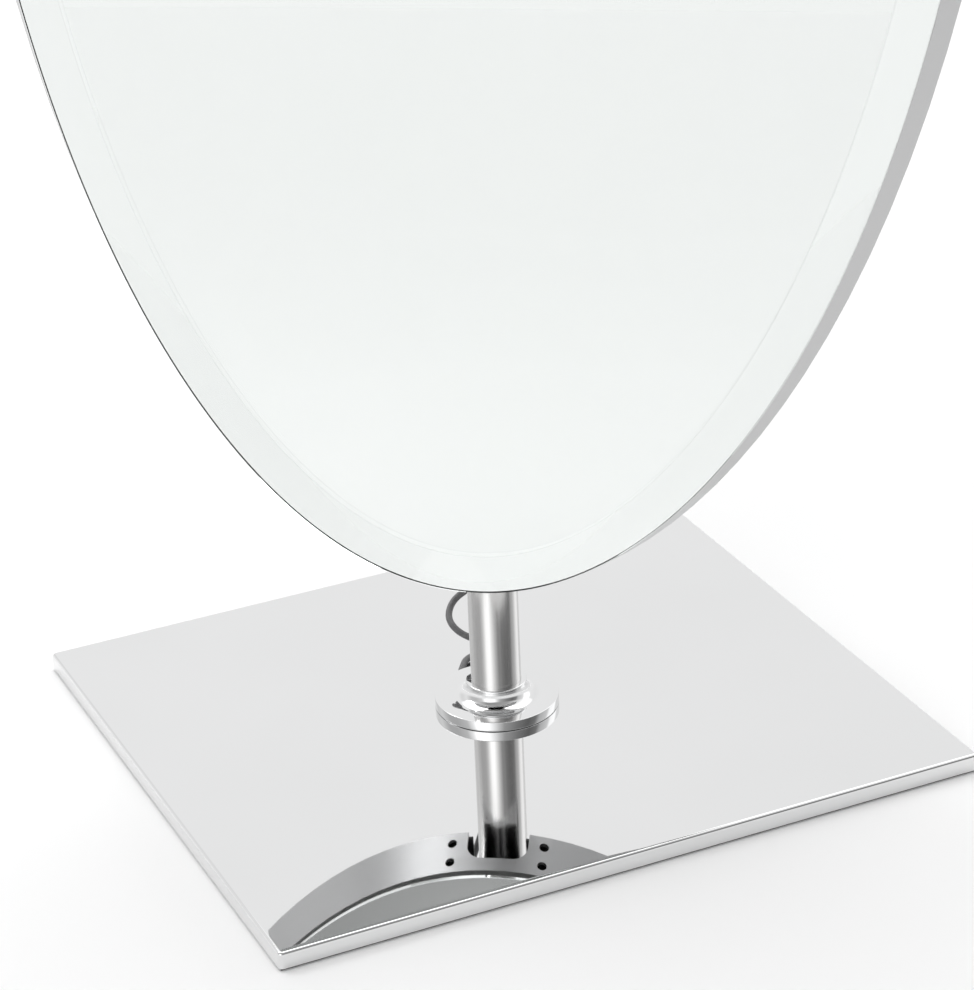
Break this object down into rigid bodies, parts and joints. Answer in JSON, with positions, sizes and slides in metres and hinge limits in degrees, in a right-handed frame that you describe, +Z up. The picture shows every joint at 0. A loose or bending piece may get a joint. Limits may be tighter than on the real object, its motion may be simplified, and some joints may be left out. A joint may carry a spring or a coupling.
{
  "type": "countertop mirror",
  "caption": "Tall oval bevelled mirror in a shallow lit metal shell, tilting on a round post that swivels on a weighted polished base plate.",
  "frame": {"origin": "centre of the base's underside, on the counter and on the swivel axis", "axes": "+Z up, +X along the base's long side, -Y out of the base's front edge; the mirror is turned 33 degrees towards -X at rest"},
  "size_m": [0.3296, 0.281, 0.8628],
  "materials": {
    "polished_steel": "mirror-polished stainless sheet",
    "brushed_steel": "fine brushed along the tube",
    "satin_steel": "fine satin",
    "sheet_steel": "zinc plated sheet",
    "ballast_steel": "black primer",
    "zinc_steel": "bright zinc",
    "black_steel": "black oxide",
    "turned_aluminium": "as turned",
    "sheet_aluminium": "mill finish",
    "black_pad": "matt closed-cell rubber",
    "black_plastic": "moulded",
    "white_plastic": "moulded",
    "light_strip": "white board with small lights",
    "friction_disc": "fibre friction disc",
    "cable_jacket": "dark grey, matt",
    "mirror_glass": "silvered plate glass, polished bevel"
  },
  "bodies": {
    "base": {"base_cover": "polished_steel", "ballast_plate": "ballast_steel", "base_pad": "black_pad", "swivel_bush": "white_plastic", "thrust_washer": "white_plastic", "dc_inlet": "black_plastic", "base_lead": "cable_jacket"},
    "post": {"post_flange": "polished_steel", "post_tube": "brushed_steel", "foot_plug": "turned_aluminium", "pivot_stud": "zinc_steel", "wave_washer": "zinc_steel", "stud_nut": "zinc_steel", "neck_screw": "black_steel", "post_lead": "cable_jacket", "tilt_knuckle": "turned_aluminium", "light_cable": "cable_jacket"},
    "head": {"mirror_glass": "mirror_glass", "chassis_plate": "sheet_aluminium", "led_strip": "light_strip", "light_diffuser": "white_plastic", "housing_shell": "satin_steel", "rear_cover": "satin_steel", "cover_standoffs": "turned_aluminium", "cover_screws": "zinc_steel", "pivot_hood": "satin_steel", "hood_screws": "zinc_steel", "tilt_bracket": "sheet_steel", "bracket_screws": "zinc_steel", "tilt_pin": "zinc_steel", "friction_washers": "friction_disc", "pin_nut": "zinc_steel", "cable_gland": "black_plastic", "led_driver": "white_plastic"}
  },
  "joints": [
    {"name": "swivel", "type": "hinge", "parent": "base", "child": "post", "pos_m": [0, 0, 0], "axis": [0, 0, 1], "range_deg": [-57, 123]},
    {"name": "tilt", "type": "hinge", "parent": "post", "child": "head", "pos_m": [0, 0, 0.1222], "axis": [0.8387, -0.5446, 0], "range_deg": [-11.3, 8.5], "deforming": ["light_cable"]}
  ]
}
